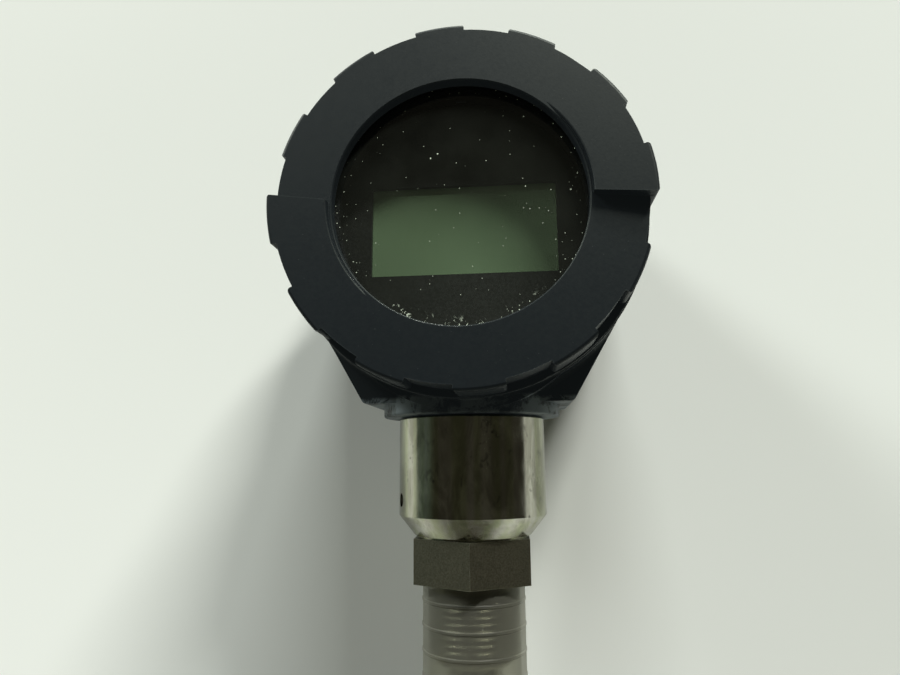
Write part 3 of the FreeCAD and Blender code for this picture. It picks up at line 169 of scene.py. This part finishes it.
class Surface(Nodes):
    """A material under construction, patterned in the row's own coordinates."""

    def __init__(self, name):
        self.material = bpy.data.materials.new(name)
        self.material.use_nodes = True
        super().__init__(self.material.node_tree)
        self.output = self.add("OutputMaterial")

    def place(self, scale=(1, 1, 1)):
        """The row's coordinates, in metres, scaled along each axis."""
        coordinates = self.add("TexCoord").outputs["Object"]
        return self.add("Mapping", {"Vector": coordinates, "Scale": scale}).outputs[0]

    def normal(self):
        return self.add("NewGeometry").outputs["Normal"]

    def backfacing(self):
        return self.add("NewGeometry").outputs["Backfacing"]

    def noise(self, scale, detail=4.0, rough=0.55, at=None, warp=0.0):
        inputs = {"Vector": at or self.place(), "Scale": scale, "Detail": detail,
                  "Roughness": rough, "Distortion": warp}
        return self.add("TexNoise", inputs).outputs["Fac"]

    def specks(self, scale, radius, share):
        """Small round dots in a share of the cells of a grid."""
        cells = self.add("TexVoronoi", {"Vector": self.place(), "Scale": scale, "Randomness": 1.0})
        dot = self.steps(cells.outputs["Distance"], radius, radius * 0.6)
        lot = self.add("SeparateColor", {0: cells.outputs["Color"]}).outputs[0]
        return self.product(dot, self.math("LESS_THAN", lot, share))

    def edges(self, radius, low, high):
        """Convex and concave edges, found from a rounded normal."""
        rounded = self.add("Bevel", {"Radius": radius}, samples=6).outputs[0]
        return self.steps(self.math("SUBTRACT", 1.0, self.dot(rounded, self.normal())), low, high)

    def bump(self, height, distance, strength, normal=None):
        """Normal of a relief, laid over another normal where one is given."""
        inputs = {"Height": height, "Distance": distance, "Strength": strength}
        if normal is not None:
            inputs["Normal"] = normal
        return self.add("Bump", inputs).outputs[0]

    def finish(self, shader):
        self.put(self.output.inputs[0], shader)
        return self.material

    def principled(self, **inputs):
        """Finishes the material with one principled shader."""
        names = {key.replace("_", " "): value for key, value in inputs.items()}
        return self.finish(self.add("BsdfPrincipled", names).outputs[0])


# ---- materials ---------------------------------------------------------------------------------

def rubbed_foot(s):
    """Where the paint beside the stem is rubbed away, in patches and most at the sides."""
    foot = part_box("housing")[0].z
    position = s.split(s.place())
    near_foot = s.steps(position[2], foot + WORN_UP_TO[1], foot + WORN_UP_TO[0])
    aside = s.steps(s.math("ABSOLUTE", position[0]), *WORN_ASIDE, 0.5, 1.0)
    patches = s.steps(s.noise(190, 7, 0.72, warp=0.6), 0.40, 0.55)
    return s.product(s.product(near_foot, patches), aside)


def levelled_normal(s):
    """The true normal, but straight out where a face lies almost square to the covers' axis.

    The covers' wedges slope so little that satin paint hides it in the photograph.
    """
    face = s.add("VectorTransform", {0: (0, 1, 0)}, vector_type="NORMAL", convert_from="OBJECT",
                 convert_to="WORLD").outputs[0]
    true = s.normal()
    lean = s.dot(face, true)
    outward = s.add("VectorMath", {0: face, 3: s.math("SIGN", lean)}, operation="SCALE").outputs[0]
    nearly = s.steps(s.math("ABSOLUTE", lean), 0.975, 0.992)
    return s.add("Mix", {0: nearly, 4: true, 5: outward}, data_type="VECTOR").outputs[1]


def painted_aluminium(name, worn_foot=False):
    """Fine-textured dark slate paint with a painted highlight line along its edges, chipped edges and dust, a
    worn foot where asked, and a faint painted glow.
    """
    s = Surface(name)
    broad = s.noise(45, 5, 0.6)
    fine = s.noise(1400, 3, 0.6)
    base = s.mix(broad, (0.0026, 0.0042, 0.0066), (0.0046, 0.0066, 0.0096))
    edge = s.edges(EDGE_SHEEN_AND_WEAR, 0.04, 0.28)
    # Lighter line along every edge: a painted highlight, as if rounded edges caught the light
    base = s.mix(s.product(edge, 0.75), base, (0.034, 0.041, 0.042))
    chipped = s.product(edge, s.steps(s.noise(260, 6, 0.7), 0.56, 0.72))
    base = s.mix(s.product(chipped, 0.7), base, (0.12, 0.13, 0.13))
    if worn_foot:
        base = s.mix(s.product(rubbed_foot(s), 0.8), base, (0.22, 0.265, 0.275))
    dust = s.specks(2300, 0.12, 0.03)
    base = s.mix(s.product(dust, 0.4), base, (0.25, 0.27, 0.26))
    rough = s.steps(fine, 0.2, 0.8, 0.45, 0.55)
    peel = s.bump(s.noise(2600, 2, 0.5), 0.02 * MM, 0.5, levelled_normal(s))
    cast = s.bump(broad, 0.4 * MM, 0.10, peel)
    # The emission is a faint painted glow that lifts the paint's shaded parts; the paint is no lamp
    return s.principled(Base_Color=base, Roughness=rough, Normal=cast, Specular_IOR_Level=0.20,
                        Specular_Tint=(0.90, 1.0, 0.82, 1.0), Emission_Color=(0.75, 0.95, 1.0, 1.0),
                        Emission_Strength=0.0045)


def turned_steel(name, colour=(0.60, 0.58, 0.54), rough=(0.13, 0.22), lay=(0.5, 0.5, 6500)):
    """Bright turned steel: fine tool lay round an axis, faint stains and pits."""
    s = Surface(name)
    lines = s.noise(1.0, 3, 0.7, s.place(lay))
    stain = s.noise(110, 5, 0.6, warp=1.5)
    dark = tuple(c * 0.72 for c in colour)
    base = s.mix(s.steps(stain, 0.35, 0.7), dark, colour)
    base = s.mix(s.product(s.specks(700, 0.2, 0.06), 0.5), base, (0.10, 0.09, 0.08))
    both = s.math("ADD", s.product(lines, 0.5), s.product(stain, 0.5))
    roughness = s.steps(both, 0.35, 0.65, *rough)
    return s.principled(Base_Color=base, Roughness=roughness, Metallic=1.0,
                        Normal=s.bump(lines, 0.006 * MM, 0.5))


def stem_steel():
    """Sensor body: polished cylinder and cone with painted reflection streaks, over a duller, browner hexagon
    with a painted glint on its corners.
    """
    s = Surface("stem_steel")
    position = s.split(s.place())
    above_hexagon = s.steps(position[2], HEXAGON_TOP - HEXAGON_BLUR, HEXAGON_TOP + HEXAGON_BLUR)
    lines = s.noise(1.0, 3, 0.7, s.place((0.4, 0.4, 7500)))
    smear = s.noise(150, 5, 0.65, s.place((1, 1, 0.35)), 1.2)
    # Thin vertical streaks that tint the polished steel: painted reflections of the room
    reflection_streaks = s.noise(330, 2, 0.5, s.place((1, 1, 0.01)))
    grain = s.noise(2600, 4, 0.7)

    bright = s.mix(s.steps(smear, 0.4, 0.66), (0.27, 0.26, 0.215), (0.45, 0.44, 0.38))
    bright = s.mix(s.steps(reflection_streaks, 0.35, 0.65), bright, (0.84, 0.90, 0.70), "MULTIPLY")
    stain = s.steps(s.noise(420, 6, 0.7, s.place((1, 1, 0.6)), 0.5), 0.56, 0.66)
    stain = s.product(s.product(stain, s.steps(position[2], *STAINS)), 0.6)
    bright = s.mix(stain, bright, (0.09, 0.085, 0.07))

    dull = s.mix(s.steps(grain, 0.3, 0.7), (0.16, 0.156, 0.112), (0.24, 0.23, 0.17))
    # Lighter patches along the hexagon's edges: a painted glint where its corners would catch the light
    corner = s.product(s.edges(CORNER_GLINT, 0.03, 0.12), s.steps(s.noise(420, 5, 0.7), 0.36, 0.60))
    dull = s.mix(s.product(corner, 0.7), dull, (0.62, 0.62, 0.50))

    base = s.mix(above_hexagon, dull, bright)
    base = s.mix(s.product(s.specks(520, 0.22, 0.05), 0.7), base, (0.07, 0.065, 0.055))
    rough_dull = s.steps(grain, 0.3, 0.7, 0.34, 0.48)
    rough_bright = s.steps(smear, 0.35, 0.7, 0.11, 0.20)
    facing_down = s.steps(s.split(s.normal())[2], -0.1, -0.3)
    rough_bright = s.larger(rough_bright, s.product(facing_down, 0.27))
    roughness = s.add("Mix", {0: above_hexagon, 2: rough_dull, 3: rough_bright}, data_type="FLOAT").outputs[0]
    relief = s.math("ADD", lines, s.product(grain, 0.6))
    return s.principled(Base_Color=base, Roughness=roughness, Metallic=1.0,
                        Normal=s.bump(relief, 0.006 * MM, 0.5))


def plain_metal(name, colour, rough, grain=1200):
    """Metal with a fine cloudy grain."""
    s = Surface(name)
    cloud = s.noise(grain, 4, 0.65)
    dark = tuple(c * 0.75 for c in colour)
    base = s.mix(s.steps(cloud, 0.3, 0.7), dark, colour)
    return s.principled(Base_Color=base, Roughness=s.steps(cloud, 0.3, 0.7, rough, rough + 0.15),
                        Metallic=1.0, Normal=s.bump(cloud, 0.01 * MM, 0.3))


def plain_plastic(name, colour, rough):
    """Moulded plastic or rubber: slight mottling, dust and a fine texture."""
    s = Surface(name)
    cloud = s.noise(1500, 4, 0.6)
    light = tuple(min(1.0, c * 1.35) for c in colour)
    base = s.mix(cloud, colour, light)
    base = s.mix(s.product(s.specks(800, 0.15, 0.04), 0.35), base, (0.35, 0.35, 0.33))
    return s.principled(Base_Color=base, Roughness=s.steps(cloud, 0.3, 0.7, rough, rough + 0.12),
                        Normal=s.bump(cloud, 0.01 * MM, 0.4))


def circuit_board():
    """Green solder resist with lighter tracks."""
    s = Surface("circuit_board")
    cells = s.add("TexBrick", {"Vector": s.place(), "Scale": 260.0, "Mortar Size": 0.05,
                               "Color1": (0.012, 0.09, 0.04), "Color2": (0.015, 0.11, 0.05),
                               "Mortar": (0.05, 0.20, 0.09)}).outputs["Color"]
    base = s.mix(s.noise(500, 3), cells, (0.01, 0.07, 0.03))
    return s.principled(Base_Color=base, Roughness=0.35, Normal=s.bump(s.noise(900, 2), 0.01 * MM, 0.3))


def milky_plastic():
    """Translucent soft polyethylene, slightly cloudy."""
    s = Surface("milky_plastic")
    cloud = s.noise(160, 5, 0.6)
    base = s.mix(cloud, (0.30, 0.30, 0.25), (0.40, 0.40, 0.34))
    rough = s.steps(cloud, 0.3, 0.7, 0.34, 0.46)
    wavy = s.bump(s.noise(240, 3, 0.5), 0.06 * MM, 0.5)
    skin = s.add("BsdfPrincipled", {"Base Color": base, "Roughness": rough, "IOR": 1.45,
                                    "Normal": wavy}).outputs[0]
    glowing = s.add("BsdfTranslucent", {"Color": base}).outputs[0]
    straight = s.add("BsdfTransparent", {"Color": (0.92, 0.92, 0.88)}).outputs[0]
    scattered = s.add("BsdfRefraction", {"Color": (0.90, 0.90, 0.85), "Roughness": 0.5, "IOR": 1.12,
                                         "Normal": wavy}).outputs[0]
    milk = s.blend(0.4, skin, glowing)
    clear = s.blend(0.36, straight, scattered)
    return s.finish(s.blend(s.steps(cloud, 0.3, 0.7, 0.66, 0.76), milk, clear))


def window_dirt(s):
    """How much of the window's outer face is covered, from nothing to one."""
    low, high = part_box("window_glass")
    position = s.split(s.place())
    drop = s.math("SUBTRACT", position[2], (low.z + high.z) / 2)
    radius = s.math("SQRT", s.math("ADD", s.math("POWER", position[0], 2.0), s.math("POWER", drop, 2.0)))
    opening = (high.z - low.z) / 2 - GLASS_SEAT
    rim = s.steps(radius, opening - RIM_DUST[0], opening - RIM_DUST[1])
    foot = s.steps(drop, -SHREDS_BELOW[0] * opening, -SHREDS_BELOW[1] * opening)
    scattered = s.larger(s.specks(1500, 0.17, 0.05), s.specks(620, 0.13, 0.05))
    edge_dust = s.product(s.specks(1300, 0.2, 0.28), rim)
    sealant = s.steps(s.noise(330, 7, 0.75, s.place((1.6, 1, 1)), 0.8), 0.585, 0.615)
    shreds = s.product(s.product(sealant, rim), foot)
    film = s.steps(s.noise(120, 4, 0.6), 0.2, 0.8, 0.006, 0.013)
    dirt = s.larger(s.larger(scattered, s.larger(edge_dust, shreds)), film)
    return s.product(dirt, s.math("LESS_THAN", position[1], low.y + GLASS_FACE))


def window_glass():
    """Clear glass: a film of dust, white specks, and shreds of sealant along the lower edge.

    Rays pass straight through it, so at a face met from inside the Fresnel node would find a total
    reflection that isn't there. Such faces don't reflect.
    """
    s = Surface("window_glass")
    clear = s.add("BsdfTransparent", {"Color": (0.93, 0.95, 0.93)}).outputs[0]
    gloss = s.add("BsdfGlossy", {"Color": (1, 1, 1), "Roughness": 0.03}).outputs[0]
    outside = s.math("SUBTRACT", 1.0, s.backfacing())
    fresnel = s.product(s.add("Fresnel", {"IOR": 1.5}).outputs[0], outside)
    speck = s.add("BsdfDiffuse", {"Color": (0.66, 0.74, 0.60)}).outputs[0]
    return s.finish(s.blend(window_dirt(s), s.blend(fresnel, clear, gloss), speck))


def display_glass():
    """Unpowered liquid crystal display, grey-green."""
    s = Surface("display_glass")
    base = s.mix(s.noise(70, 3, 0.5), (0.158, 0.230, 0.136), (0.186, 0.268, 0.162))
    return s.principled(Base_Color=base, Roughness=0.22, Coat_Weight=0.3, Coat_Roughness=0.05)


def paper():
    """White paper that gives an even diffuse glow to what lies on it; from behind it isn't there."""
    s = Surface("paper")
    base = s.mix(s.noise(2.5, 4, 0.5), (0.82, 0.85, 0.81), (0.87, 0.895, 0.86))
    sheet = s.add("BsdfDiffuse", {"Color": base, "Roughness": 0.6}).outputs[0]
    glow = s.add("Emission", {"Color": (0.80, 0.82, 0.78), "Strength": 0.45}).outputs[0]
    hole = s.add("BsdfTransparent").outputs[0]
    ray = s.add("LightPath").outputs
    behind = s.larger(s.backfacing(), ray["Is Shadow Ray"])
    return s.finish(s.blend(behind, s.blend(ray["Is Diffuse Ray"], sheet, glow), hole))


# ---- camera, light and backdrop ----------------------------------------------------------------

def link(name, data):
    """A new object in the scene."""
    obj = bpy.data.objects.new(name, data)
    bpy.context.collection.objects.link(obj)
    return obj


def make_camera():
    azimuth, elevation, roll = (math.radians(angle) for angle in VIEW_ANGLES)
    back = Vector((math.sin(azimuth) * math.cos(elevation), -math.cos(azimuth) * math.cos(elevation),
                   math.sin(elevation)))
    right = (-back).cross(Vector((0, 0, 1))).normalized()
    up = right.cross(-back)
    x_axis = right * math.cos(roll) + up * math.sin(roll)
    y_axis = up * math.cos(roll) - right * math.sin(roll)
    data = bpy.data.cameras.new("camera")
    data.lens, data.sensor_width = LENS_MM, FILM_WIDTH_MM
    data.clip_start, data.clip_end = 0.005, 20.0
    camera = link("camera", data)
    camera.matrix_world = Matrix((x_axis, y_axis, back)).transposed().to_4x4()
    camera.location = VIEW_PLACE
    bpy.context.scene.camera = camera


def make_lamp(name, place, size, watts, colour=(1, 1, 1)):
    data = bpy.data.lights.new(name, "AREA")
    data.shape = "RECTANGLE"
    data.size, data.size_y = size
    data.energy = watts
    data.color = colour
    lamp = link(name, data)
    lamp.location = place
    lamp.rotation_mode = "QUATERNION"
    lamp.rotation_quaternion = (Vector(LAMP_TARGET) - lamp.location).to_track_quat("-Z", "Y")


def make_lamps():
    make_lamp("lamp_high", (0.54, -0.66, 1.16), (0.45, 0.12), 21, (1.0, 1.0, 0.95))
    make_lamp("lamp_above", (0.10, -0.40, 1.35), (0.40, 0.14), 15, (0.97, 1.0, 0.97))
    make_lamp("lamp_left", (-0.98, -0.42, 1.05), (0.8, 0.3), 16, (0.97, 1.0, 0.97))
    make_lamp("lamp_back", (0.5, 1.1, 0.9), (0.8, 0.8), 12)


def make_world():
    """Pale for the camera; for the object a dim room, brighter to the left, above and behind."""
    world = bpy.data.worlds.new("room")
    bpy.context.scene.world = world
    world.use_nodes = True
    s = Nodes(world.node_tree)
    direction = s.split(s.add("TexCoord").outputs["Generated"])
    below = s.steps(direction[2], -0.15, -0.7)
    left = s.steps(direction[0], -0.82, -0.95)
    behind = s.steps(direction[1], 0.04, 0.30)
    above = s.steps(direction[2], 0.6, 0.95)
    room = s.mix(below, (0.050, 0.048, 0.036), (0.10, 0.096, 0.076))
    room = s.mix(left, room, (0.125, 0.155, 0.135))
    room = s.mix(behind, room, (0.36, 0.37, 0.35))
    room = s.mix(above, room, (0.25, 0.26, 0.25))
    seen = s.add("LightPath").outputs["Is Camera Ray"]
    colour = s.mix(seen, room, (0.80, 0.82, 0.79))
    background = s.add("Background", {"Color": colour, "Strength": 1.0}).outputs[0]
    s.put(s.add("OutputWorld").inputs[0], background)


def make_paper():
    y = CAD_BOX[1].y + PAPER_GAP
    side, top = PAPER_SIDE, PAPER_TOP
    corners = [(-side, y, -side), (side, y, -side), (side, y, top), (-side, y, top)]
    mesh = bpy.data.meshes.new("paper")
    mesh.from_pydata(corners, [], [(0, 1, 2, 3)])
    mesh.materials.append(paper())
    sheet = link("paper", mesh)


# ---- pieces ------------------------------------------------------------------------------------

def wear(material, *nodes):
    """Gives a material to CAD nodes."""
    for node in nodes:
        for slot in frame["nodes"][node].material_slots:
            slot.material = material


def finish_nodes():
    wear(painted_aluminium("painted_housing", worn_foot=True), "housing")
    wear(painted_aluminium("painted_cover"), "front_cover", "rear_cover")
    wear(stem_steel(), "sensor_body")
    wear(turned_steel("cell_steel"), "sensor_cell", "cell_retaining_ring")
    wear(turned_steel("plug_steel", (0.52, 0.52, 0.51), (0.25, 0.38), (4500, 0.5, 0.5)), "conduit_plug")
    wear(plain_metal("sintered_steel", (0.20, 0.19, 0.18), 0.6, 3000), "vent_filter")
    wear(plain_metal("dark_steel", (0.10, 0.10, 0.11), 0.4), "housing_lock_screw")
    wear(plain_metal("zinc_steel", (0.62, 0.62, 0.60), 0.22),
         "module_screws", "display_screws", "terminal_washers", "terminal_screws",
         "earth_washer_inner", "earth_washer_outer", "earth_screw_outer")
    wear(plain_metal("brass", (0.72, 0.56, 0.26), 0.25),
         "display_standoffs", "terminal_plates", "earth_screw_inner")
    wear(plain_metal("ring_aluminium", (0.06, 0.06, 0.065), 0.4), "glass_retaining_ring")
    wear(plain_plastic("seal_rubber", (0.012, 0.012, 0.013), 0.5),
         "cell_oring", "neck_oring", "conduit_seal", "front_seal", "rear_seal", "window_gasket")
    wear(plain_plastic("black_plastic", (0.014, 0.014, 0.015), 0.45), "module_cup", "board_connector")
    wear(plain_plastic("bezel_plastic", (0.006, 0.0065, 0.006), 0.35), "display_bezel")
    wear(plain_plastic("terminal_plastic", (0.05, 0.06, 0.05), 0.4), "terminal_block")
    wear(plain_plastic("potting_resin", (0.02, 0.02, 0.022), 0.2), "module_potting")
    wear(circuit_board(), "sensor_board", "main_board", "display_board")
    wear(milky_plastic(), "thread_cap")
    wear(window_glass(), "window_glass")
    wear(display_glass(), "lcd_panel")


def outward_faces(mesh):
    """Turns a closed mesh's faces outwards."""
    bm = bmesh.new()
    bm.from_mesh(mesh)
    bmesh.ops.recalc_face_normals(bm, faces=bm.faces)
    bm.to_mesh(mesh)
    bm.free()


def helix(name, place, axis, radius, height, start, end):
    """Ridge of a thread wound round an axis through a place, fading in and out over a third of a turn.

    Start and end are distances along the axis, and a negative height points inwards.
    """
    root = radius - math.copysign(RIDGE_SINK, height)
    count = int((end - start) / PITCH * TURN_SEGMENTS)
    step = (end - start) / count
    fade = TURN_SEGMENTS / 3
    vertices, faces = [], []
    for k in range(count + 1):
        angle = 2 * math.pi * k / TURN_SEGMENTS
        crest = radius + height * min(1.0, k / fade, (count - k) / fade)
        for r, offset in ((root, -RIDGE_HALF_ROOT), (crest, -RIDGE_HALF_CREST),
                          (crest, RIDGE_HALF_CREST), (root, RIDGE_HALF_ROOT)):
            along = start + step * k + offset * PITCH
            vertices.append((r * math.cos(angle), r * math.sin(angle), along))
    for k in range(count):
        for j in range(4):
            a, b = 4 * k + j, 4 * k + (j + 1) % 4
            faces.append((a, b, b + 4, a + 4))
    faces.append((3, 2, 1, 0))
    faces.append(tuple(4 * count + j for j in range(4)))
    mesh = bpy.data.meshes.new(name)
    mesh.from_pydata(vertices, [], faces)
    mesh.transform(Matrix.Translation(place) @ axis.to_track_quat("Z", "Y").to_matrix().to_4x4())
    outward_faces(mesh)
    return link(name, mesh)


def mount(name):
    """A mount's place, outward axis, radius and length, in metres."""
    found = next(m for m in frame["record"]["mounts"] if m["name"] == name)
    dims = found["dims"]
    return Vector(found["pos_m"]), Vector(found["axis"]), dims["r_mm"] * MM, dims["length_mm"] * MM


def process_thread():
    """Thread on the process connection, seen through its cap. Its mount starts at the hexagon."""
    place, axis, radius, length = mount("process_thread")
    start, end = PROCESS_ENDS[0], length - PROCESS_ENDS[1]
    ridge = helix("process_thread", place, axis, radius, PROCESS_RIDGE, start, end)
    ridge.data.materials.append(turned_steel("thread_steel", (0.10, 0.10, 0.08), (0.3, 0.42)))
    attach(ridge, SENSOR)


def entry_thread():
    """Thread in the open cable entry. Its mount's place is halfway along the wall."""
    place, axis, radius, length = mount("cable_entry")
    start, end = ENTRY_ENDS[0] - length / 2, length / 2 - ENTRY_ENDS[1]
    ridge = helix("cable_entry_thread", place, axis, radius, ENTRY_RIDGE, start, end)
    ridge.data.materials.append(plain_metal("cut_aluminium", (0.30, 0.31, 0.31), 0.35))
    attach(ridge, HOUSING)


bpy.context.scene.view_settings.view_transform = "Standard"
make_camera()
make_world()
make_paper()
make_lamps()
finish_nodes()
process_thread()
entry_thread()
